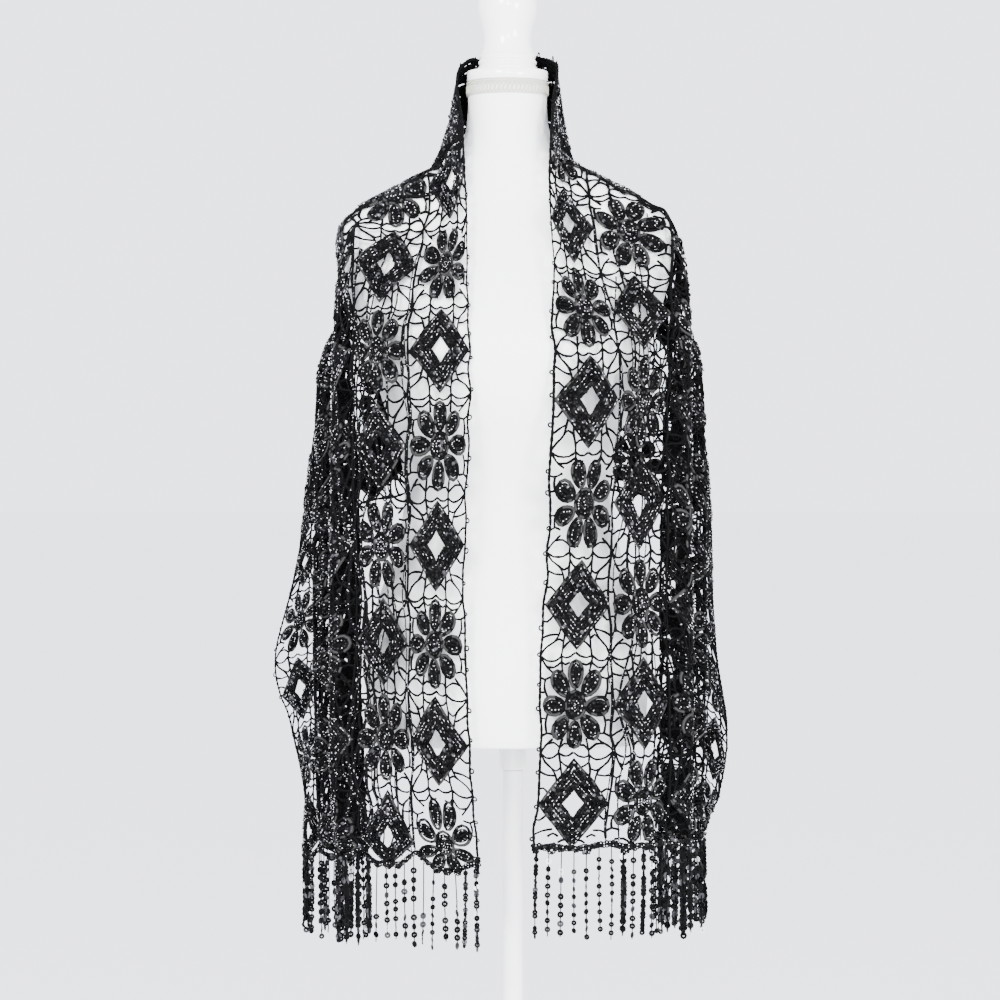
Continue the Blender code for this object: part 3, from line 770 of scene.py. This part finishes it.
def add_specks(batch, path, spacing, above):
    """Small three-sided beads scattered along a yarn, the light ones of them painted glints."""
    length = np.linalg.norm(np.diff(path, axis=0), axis=1).sum()
    place = np.sort(random.uniform(0, len(path) - 1.001, max(1, int(length / spacing))))
    start = place.astype(int)
    share = (place - start)[:, None]
    heart = path[start] * (1 - share) + path[start + 1] * share
    heart += random.normal(0, 0.0008, heart.shape) * (1, 1, 0) + np.array((0, 0, above))
    turn = random.uniform(0, math.pi, len(heart))
    first = np.stack([np.cos(turn), np.sin(turn), np.zeros(len(turn))], -1)
    up = np.broadcast_to((0.0, 0.0, 1.0), first.shape)
    second = np.cross(up, first)
    spokes = [
        math.cos(angle) * first * 1.2 + math.sin(angle) * second
        for angle in (0, math.tau / 3, -math.tau / 3)
    ]
    add_beads(batch, heart, spokes, up, SPECK_SIZES)


# Materials
COAT_ROUGHNESS = 0.08


def principled(name, color, roughness, metallic=0.0, coat=0.0, specular=0.5, sheen=0.0):
    material = bpy.data.materials.new(name)
    material.use_nodes = True
    sockets = material.node_tree.nodes["Principled BSDF"].inputs
    values = {
        "Base Color": (*color, 1.0), "Roughness": roughness, "Metallic": metallic,
        "Coat Weight": coat, "Coat Roughness": COAT_ROUGHNESS,
        "Specular IOR Level": specular, "Sheen Weight": sheen,
    }
    for socket, value in values.items():
        sockets[socket].default_value = value
    return material


def add_grain(material, scale, strength, distance):
    """A fine even bump."""
    nodes, links = material.node_tree.nodes, material.node_tree.links
    noise = nodes.new("ShaderNodeTexNoise")
    noise.inputs["Scale"].default_value = scale
    bump = nodes.new("ShaderNodeBump")
    bump.inputs["Strength"].default_value = strength
    bump.inputs["Distance"].default_value = distance
    links.new(noise.outputs["Fac"], bump.inputs["Height"])
    links.new(bump.outputs["Normal"], nodes["Principled BSDF"].inputs["Normal"])


YARN = principled("black_yarn", (0.0016, 0.0016, 0.0018), 0.75, specular=0.04)
GREY_YARN = principled("grey_yarn", (0.016, 0.016, 0.0155), 0.60, specular=0.15)
BLACK_SEQUIN = principled("black_sequin", (0.0010, 0.0010, 0.0011), 0.32, specular=0.045)
SMOKE_SEQUIN = principled("smoke_sequin", (0.030, 0.030, 0.033), 0.35, metallic=0.3, specular=0.15)
# Silver beads: partly the shawl's own beads, partly a painted glint, their light grey standing in
# for the sequins' glints
SILVER_BEAD_AND_PAINTED_GLINT = principled("silver_bead_and_painted_glint", (0.62, 0.62, 0.64), 0.30, specular=0.5)
COVER = principled("white_jersey", (0.86, 0.87, 0.87), 0.80, specular=0.3, sheen=0.1)
BRAID = principled("ivory_braid", (0.50, 0.48, 0.40), 0.75)
WOOD = principled("white_gloss_wood", (0.88, 0.88, 0.87), 0.22, coat=0.4)
METAL = principled("white_painted_metal", (0.85, 0.85, 0.86), 0.35)
STUDIO = principled("studio", (0.93, 0.93, 0.94), 0.95, specular=0.1)
add_grain(COVER, 900.0, 0.12, 0.0004)
SEQUINS = (BLACK_SEQUIN, SMOKE_SEQUIN, SILVER_BEAD_AND_PAINTED_GLINT)


# Edges and hems
EDGE_STEP = 0.0032
EDGE_TURNS = 42.0
LOOP_PITCH = 0.31
LOOP_LENGTH, LOOP_WIDTH = 0.021, 0.028
LOOP_RADIUS = 0.0009
HEM_STEP = 0.04
HEM_TURNS = 23.0
HEM_CORDS = ((0.0, 0.0017), (2.1, 0.0016), (4.2, 0.0015))  # (phase, radius)
HEM_GREY_SHARE = 0.4
HEM_SEQUINS = ((-0.016, 0.0030), (0.018, 0.0028))  # (shift, lift)
# Drops below each column's middle, at the -X side's hem and at the +X side's
SCALLOPED_DROPS, STRAIGHT_DROPS = (-0.17, 0.0, 0.17), (-0.26, 0.21)
DROP_LENGTH, DROP_WIDTH = 0.030, 0.042


def add_edge_chain(batch, first_row, last_row, column, outward):
    """Two yarns twisted round each other along an edge, with small loops."""
    steps = max(2, round((last_row - first_row) * CELL_LENGTH / EDGE_STEP))
    rows = first_row + np.arange(0, 1 + 1e-9, 1 / steps) * (last_row - first_row)
    for phase in (0.0, math.pi):
        turn = rows * EDGE_TURNS + phase
        cells = np.stack([rows, column + 0.007 * np.sin(turn)], -1)
        path = worked(cells, YARN_LIFT + 0.0004 + 0.0005 * np.cos(turn), EDGE_STRAY)
        batch.add(*tube(path, uneven(len(path), YARN_RADIUS * 0.75)))
    for row in np.arange(first_row + 0.17, last_row - 0.05, LOOP_PITCH):
        size = random.uniform(0.7, 1.15)
        middle = (row + random.uniform(-0.08, 0.08), column + outward * 0.027 * size)
        loop = ring(middle, LOOP_LENGTH * size, LOOP_WIDTH * size, 8)
        add_cord(batch, worked(loop, YARN_LIFT, EDGE_STRAY), LOOP_RADIUS, True)


def add_hem(cords, sequins, row):
    """A thick crocheted end row, with sequins and with small drops below the motifs."""
    columns = np.arange(-0.02, COLUMNS + 0.03, HEM_STEP)
    outward = 1 if row > 0 else -1
    base = outward * np.array([hem_row(min(max(c, 0.0), COLUMNS - 1e-6), row) for c in columns])
    for phase, radius in HEM_CORDS:
        turn = columns * HEM_TURNS + phase
        cells = np.stack([base + 0.020 * np.sin(turn) + 0.006 * np.sin(columns * 5.0), columns], -1)
        path = worked(cells, 0.0018 + 0.0009 * np.cos(turn), EDGE_STRAY)
        add_cord(cords, path, uneven(len(columns), radius), False, HEM_GREY_SHARE)
    for shift, lift in HEM_SEQUINS:
        cells = np.stack([base + shift + 0.010 * np.sin(columns * 31.0), columns], -1)
        flat = spread(cells * CELL_SIZE, SEQUIN_PITCH * 1.2)
        add_sequins(sequins, worked(flat / CELL_SIZE, lift, EDGE_STRAY), False)
    for middle in np.arange(0.5, COLUMNS):
        for across in SCALLOPED_DROPS if row > 0 else STRAIGHT_DROPS:
            column = middle + across
            place = (outward * (hem_row(column, row) + DROP_LENGTH), column)
            flat = spread(ring(place, DROP_LENGTH, DROP_WIDTH, 8) * CELL_SIZE, SEQUIN_PITCH, True)
            path = worked(flat / CELL_SIZE, CORD_LIFT, DROP_STRAY)
            add_cord(cords, path, OUTLINE_RADIUS, True, GREY_SHARE)
            add_sequins(sequins, path, True)


# Where the lace is gathered: the columns of the neck's yarns, of which the first ones end short,
# and the rows of the shoulders' yarns
COLLAR_COLUMNS = [0.02, 0.05, 0.08, 0.11, 0.14] + [0.17 + 0.050 * k for k in range(15)]
COLLAR_REACH, SHORT_REACH, SHORT_COLUMNS = 2.85, 1.15, 0.16
COLLAR_RADIUS, COLLAR_SPECKS = 0.0022, 0.016
RIDGE_ROWS = (1.60, 1.76, 1.92, 2.08, 2.24, 2.40, 2.56)
RIDGE_RADIUS, RIDGE_SPECKS = 0.0023, 0.014
# Bands of long yarns in each stretch, as (first column, last column, number, radius)
GATHERS = {
    "shawl_left_front": (
        (0.95, 1.07, 2, 0.0009), (1.30, 1.70, 4, 0.0011), (1.72, 5.10, 34, 0.0018),
    ),
    "shawl_right_front": (
        (0.95, 1.00, 1, 0.0009), (1.02, 1.70, 5, 0.0011), (1.72, 5.10, 5, 0.0013),
    ),
    "shawl_back": (),
}
GATHER_SPECKS = 0.004


def add_gathered(cords, sequins, rows, columns, radius, spacing):
    """One yarn of the gathers, with beads about a spacing apart."""
    path = worked(np.stack([rows, columns], -1), CORD_LIFT, EDGE_STRAY)
    add_cord(cords, path, uneven(len(path), radius))
    add_specks(sequins, path, spacing, radius * CORD_FLATNESS)


def add_collar(cords, sequins, first_row, last_row):
    """The yarns that lie close together round the neck and over the shoulders."""
    for index, column in enumerate(COLLAR_COLUMNS):
        reach = SHORT_REACH if column < SHORT_COLUMNS else COLLAR_REACH - 0.07 * index
        rows = np.arange(first_row, last_row + 0.01, 0.08)
        rows = rows[np.abs(rows) < reach]
        if len(rows) > 3:
            columns = column + 0.022 * np.sin(rows * 7.0 + 1.9 * index)
            add_gathered(cords, sequins, rows, columns, COLLAR_RADIUS, COLLAR_SPECKS)
    for side in (-1, 1):
        for index, row in enumerate(RIDGE_ROWS):
            if first_row <= side * row <= last_row:
                columns = np.arange(0.75, 2.12 - 0.05 * (index % 3), 0.09)
                rows = side * row + 0.03 * np.sin(columns * 6.0 + 2.3 * index)
                add_gathered(cords, sequins, rows, columns, RIDGE_RADIUS, RIDGE_SPECKS)


def add_gathers(cords, sequins, node, side):
    """Long yarns that draw the lace together in the folds."""
    for first, last, count, radius in GATHERS[node]:
        for index in range(count):
            column = first + (last - first) * (index + random.uniform(0.2, 0.8)) / count
            rows = np.arange(random.uniform(3.0, 4.2), END_ROW - 0.04, 0.11)
            turn = random.uniform(0, math.tau, 2)
            sway = min(1.0, 0.2 * count)
            columns = (
                column + 0.09 * sway * np.sin(rows * 2.3 + turn[0])
                + 0.06 * sway * np.sin(rows * 5.3 + turn[1])
            )
            thickness = radius * random.uniform(0.7, 1.25)
            add_gathered(cords, sequins, side * rows, columns, thickness, GATHER_SPECKS)


# Fringe
STRANDS_PER_CELL = 6
STRAND_LENGTH = 0.095
STRAND_DROP = 0.0059
STRAND_LIFT = 0.0016
STRAND_SWAY, STRAND_BEND = 0.0022, 0.0012
STRAND_POINTS = 9
THREAD_RADIUS, ROPE_RADIUS = 0.0006, 0.0013
RING_RADIUS, RING_HOLE, RING_HALF_THICKNESS = 0.0036, 0.0010, 0.00030
RING_SIDES = 8
RING_SIZES, ROPE_RING_EXTRA = (0.84, 1.08), 0.12
RING_PITCH, DENSE_PITCH = 0.0090, 0.0040
RING_YAW, RING_TILT = 0.8, 0.15
# Shares of black, smoke and light silver rings; the light silver ones are painted glints
RING_TONES = (0.84, 0.13, 0.03)
# Lengths without rings under the hem and their shares, and now and then a longer one
BARE_LENGTHS, BARE_SHARES = (0.008, 0.012, 0.018, 0.030), (0.35, 0.3, 0.2, 0.15)
LONG_BARE_LENGTH, LONG_BARE_SHARE = 0.055, 0.12
# On the +X side and on the -X side: shares of the length that hang free, and the columns where
# strings hang close or as ropes
STRAND_SHARES = ((0.87, 0.96), (0.78, 0.88))
DENSE_COLUMNS = (
    ((0.0, 0.10), (1.1, 1.3), (1.45, 1.65), (1.80, 2.9), (4.3, 4.7), (5.3, 5.9)),
    ((0.0, 0.30), (1.75, 2.6), (4.3, 4.6), (5.3, 5.9)),
)
ROPE_COLUMNS = (
    ((1.15, 1.25), (1.50, 1.60), (1.85, 2.60), (5.4, 5.7)),
    ((1.85, 2.35), (5.4, 5.7)),
)


def add_ring(batch, middle, yaw, tilt, size):
    """One round sequin with a hole, hanging on edge."""
    turn = math.tau * np.arange(RING_SIDES) / RING_SIDES
    across = np.array((math.cos(yaw), math.sin(yaw), 0.0))
    level = math.sin(tilt)
    down = np.array((level * math.sin(yaw), -level * math.cos(yaw), -math.cos(tilt)))
    normal = np.cross(across, down)
    spokes = np.cos(turn)[:, None] * across + np.sin(turn)[:, None] * down
    edges = [
        middle + spokes * (radius * size) + normal * side
        for radius, side in (
            (RING_RADIUS, RING_HALF_THICKNESS), (RING_RADIUS, -RING_HALF_THICKNESS),
            (RING_HOLE, -RING_HALF_THICKNESS), (RING_HOLE, RING_HALF_THICKNESS),
        )
    ]
    k = np.arange(RING_SIDES)
    n = (k + 1) % RING_SIDES
    triangles = []
    for edge in range(4):
        a, b = edge * RING_SIDES, (edge + 1) % 4 * RING_SIDES
        triangles += [np.stack([a + k, b + k, b + n], -1), np.stack([a + k, b + n, a + n], -1)]
    tone = random.choice(3, p=RING_TONES)
    triangles = np.vstack(triangles)
    batch.add(np.vstack(edges), triangles, np.full(len(triangles), tone))


def is_within(ranges, column):
    return any(low < column < high for low, high in ranges)


def add_strand(threads, rings, column, row, index):
    """A string or a rope under the hem, with ring sequins on it."""
    hem = math.copysign(hem_row(column, row), row)
    start, level = hung(np.array([
        (place * CELL_LENGTH, column * CELL_WIDTH, STRAND_LIFT) for place in (hem, row)
    ]))
    variation = 1 + 0.05 * math.sin(1.7 * 2 * index)
    length = STRAND_LENGTH * variation * random.uniform(*STRAND_SHARES[row > 0])
    length += start[2] - level[2]
    sway = random.uniform(-STRAND_SWAY, STRAND_SWAY, 2)
    bend = random.uniform(-STRAND_BEND, STRAND_BEND, 2)
    share = np.linspace(0, 1, STRAND_POINTS)
    bow = np.sin(math.pi * share)
    path = start + np.stack([
        sway[0] * share + bend[0] * bow, sway[1] * share + bend[1] * bow,
        -(STRAND_DROP + length) * share,
    ], -1)
    rope = is_within(ROPE_COLUMNS[row > 0], column)
    dense = is_within(DENSE_COLUMNS[row > 0], column)
    threads.add(*tube(path, ROPE_RADIUS if rope else THREAD_RADIUS, up=(0.0, 1.0, 0.0)))
    bare = random.choice(BARE_LENGTHS, p=BARE_SHARES)
    if dense:
        bare = 0.0
    elif random.uniform() < LONG_BARE_SHARE:
        bare = LONG_BARE_LENGTH
    down = STRAND_DROP + bare
    size = random.uniform(*RING_SIZES) + (ROPE_RING_EXTRA if rope else 0.0)
    pitch = DENSE_PITCH if dense else RING_PITCH * min(1.0, size + 0.1)
    while down < STRAND_DROP + length + 0.001:
        at = down / (STRAND_DROP + length)
        middle = np.array([np.interp(at, share, path[:, axis]) for axis in range(3)])
        add_ring(rings, middle, random.normal(0, RING_YAW), random.normal(0, RING_TILT), size)
        down += pitch * random.uniform(0.9, 1.15)


# Turned and trimmed pieces of the stand
TURNED_SIDES = 64
BRAID_CORDS = ((1.4768, 0.0008), (1.4745, 0.0006), (1.4635, 0.0006))  # (height, radius)
BRAID_POINTS = 160
BRAID_LOOPS = 58
BRAID_MIDDLE, BRAID_LOOP_HEIGHT, BRAID_LOOP_RADIUS = 1.4690, 0.0042, 0.00055


def smooth_profile(profile, steps):
    """A turned profile with more points along its curves."""
    curve = np.array(profile)
    finer = []
    for index in range(len(curve) - 1):
        before = curve[max(index - 1, 0)]
        after = curve[min(index + 2, len(curve) - 1)]
        for part in range(steps):
            finer.append(curved(before, curve[index], curve[index + 1], after, part / steps))
    return [tuple(p) for p in finer] + [tuple(curve[-1])]


def around(center_x, half_width, half_depth, height, angle):
    x, y = center_x + half_width * np.cos(angle), half_depth * np.sin(angle)
    return np.stack([x, y, np.broadcast_to(height, angle.shape)], -1)


def show_turned(name, profile, center_x, material, sharp=35):
    turn = math.tau * np.arange(TURNED_SIDES) / TURNED_SIDES
    rings = [around(center_x, radius, radius, height, turn) for radius, height in profile]
    faces = lathe_faces(len(rings), TURNED_SIDES)
    piece = show(name + "_turned", np.vstack(rings), faces, [material], [name])
    piece.data.set_sharp_from_angle(angle=math.radians(sharp))


def show_braid():
    """The scroll braid round the top of the neck."""
    batch = Batch()
    turn = np.linspace(0, math.tau, BRAID_POINTS + 1)[:-1]
    for height, radius in BRAID_CORDS:
        batch.add(*tube(around(FORM_X, 0.0446, 0.0449, height, turn), radius, True, 5))
    curl = np.linspace(0, math.tau, 13)[:-1]
    for index in range(BRAID_LOOPS):
        middle = math.tau * index / BRAID_LOOPS
        angle = middle + 0.046 * np.cos(curl) + 0.025 * np.sin(curl)
        height = BRAID_MIDDLE + BRAID_LOOP_HEIGHT * np.sin(curl)
        outward = (math.cos(middle), math.sin(middle), 0.0)
        path = around(FORM_X, 0.0450, 0.0453, height, angle)
        batch.add(*tube(path, BRAID_LOOP_RADIUS, True, 4, up=outward))
    show_batch("neck_braid", batch, [BRAID])


# Build the stand
body = show("form_cover", FORM_POINTS, FORM_FACES, [COVER], ["form_body"])
body.data.set_sharp_from_angle(angle=math.radians(50))
show_braid()
show_turned("neck_plate", NECK_PLATE_PROFILE, FORM_X, WOOD, sharp=50)
show_turned("finial", smooth_profile(FINIAL_PROFILE, 4), FORM_X, WOOD, sharp=60)
show_turned("pole_socket", SOCKET_PROFILE, 0.0, WOOD)
show_turned("pole", POLE_PROFILE, 0.0, METAL)
show_turned("base", BASE_PROFILE, 0.0, METAL)

# Build the shawl
STRETCHES = (
    ("shawl_right_front", -END_ROW, -SHOULDER_ROW),
    ("shawl_back", -SHOULDER_ROW, SHOULDER_ROW),
    ("shawl_left_front", SHOULDER_ROW, END_ROW),
)
for name, first_row, last_row in STRETCHES:
    lace, gathers, sequins = Batch(), Batch(), Batch()
    end_row = first_row if first_row == -END_ROW else last_row
    front = abs(end_row) == END_ROW
    for row_index in range(first_row, last_row):
        for column_index in range(COLUMNS):
            add_net(lace, row_index, column_index)
            add_motif(lace, sequins, row_index, column_index)
        for column in range(1, COLUMNS):
            add_column_line(lace, row_index, column)
    own_rows = range(first_row, last_row + 1) if front else range(first_row + 1, last_row)
    for row in own_rows:
        if abs(row) < END_ROW:
            for column_index in range(COLUMNS):
                add_row_line(lace, row, column_index)
    add_collar(gathers, sequins, first_row, last_row)
    add_gathers(gathers, sequins, name, 1 if end_row > 0 else -1)
    add_edge_chain(lace, first_row, last_row, 0, -1)
    add_edge_chain(lace, first_row, last_row, COLUMNS, 1)
    if front:
        add_hem(lace, sequins, end_row)
    place = name.removeprefix("shawl_")
    cloth = show_batch("lace_" + place, lace, [YARN, GREY_YARN], [name], True, hung)
    shine = show_batch("sequins_" + place, sequins, SEQUINS, (), False, hung)
    drawn = show_batch("gathers_" + place, gathers, [YARN], (), True, hung)
    if front:
        node = "fringe_left" if end_row > 0 else "fringe_right"
        threads, rings = Batch(), Batch()
        for index in range(COLUMNS * STRANDS_PER_CELL):
            column = (2 * index + 0.5) / (2 * STRANDS_PER_CELL)
            add_strand(threads, rings, column, end_row, index)
        show_batch(node + "_threads", threads, [YARN], [node])
        show_batch(node + "_sequins", rings, SEQUINS, [node], False)

# Stage, light and camera
FLOOR_RADIUS = 300.0
FLOOR_HEIGHT = -0.0005
FLOOR_SIDES = 64
LAMPS = (  # (name, place, aim, size, power)
    ("key", (-1.6, -3.4, 2.6), (0, 0, 1.1), 1.1, 300.0),
    ("fill", (2.2, -3.0, 1.5), (0, 0, 1.0), 1.1, 200.0),
    ("front", (0.2, -4.2, 2.0), (0, 0, 1.0), 0.7, 120.0),
)
SKY_COLOR, SKY_STRENGTH = (0.90, 0.92, 1.0, 1.0), 3.3
CAMERA_PLACE = (-0.0143, -4.0, 1.0192)
CAMERA_LENS, SENSOR_WIDTH = 130.9, 36.0


def build_floor():
    turn = math.tau * np.arange(FLOOR_SIDES) / FLOOR_SIDES
    points = around(0.0, FLOOR_RADIUS, FLOOR_RADIUS, FLOOR_HEIGHT, turn)
    mesh = bpy.data.meshes.new("floor")
    mesh.from_pydata(points, [], [tuple(range(FLOOR_SIDES))])
    mesh.materials.append(STUDIO)
    put("floor", mesh)


def add_light(name, place, aim, size, power):
    light = bpy.data.lights.new(name, "AREA")
    light.shape = "DISK"
    light.size = size
    light.energy = power
    lamp = put(name, light)
    lamp.location = place
    lamp.rotation_euler = (Vector(aim) - Vector(place)).to_track_quat("-Z", "Y").to_euler()


build_floor()
for lamp in LAMPS:
    add_light(*lamp)

world = bpy.data.worlds.new("studio_light")
world.use_nodes = True
sky = world.node_tree.nodes["Background"]
sky.inputs["Color"].default_value = SKY_COLOR
sky.inputs["Strength"].default_value = SKY_STRENGTH
bpy.context.scene.world = world

camera = bpy.data.cameras.new("camera")
camera.sensor_width = SENSOR_WIDTH
camera.lens = CAMERA_LENS
camera_object = put("camera", camera)
camera_object.location = CAMERA_PLACE
camera_object.rotation_euler = (math.pi / 2, 0, 0)
bpy.context.scene.camera = camera_object
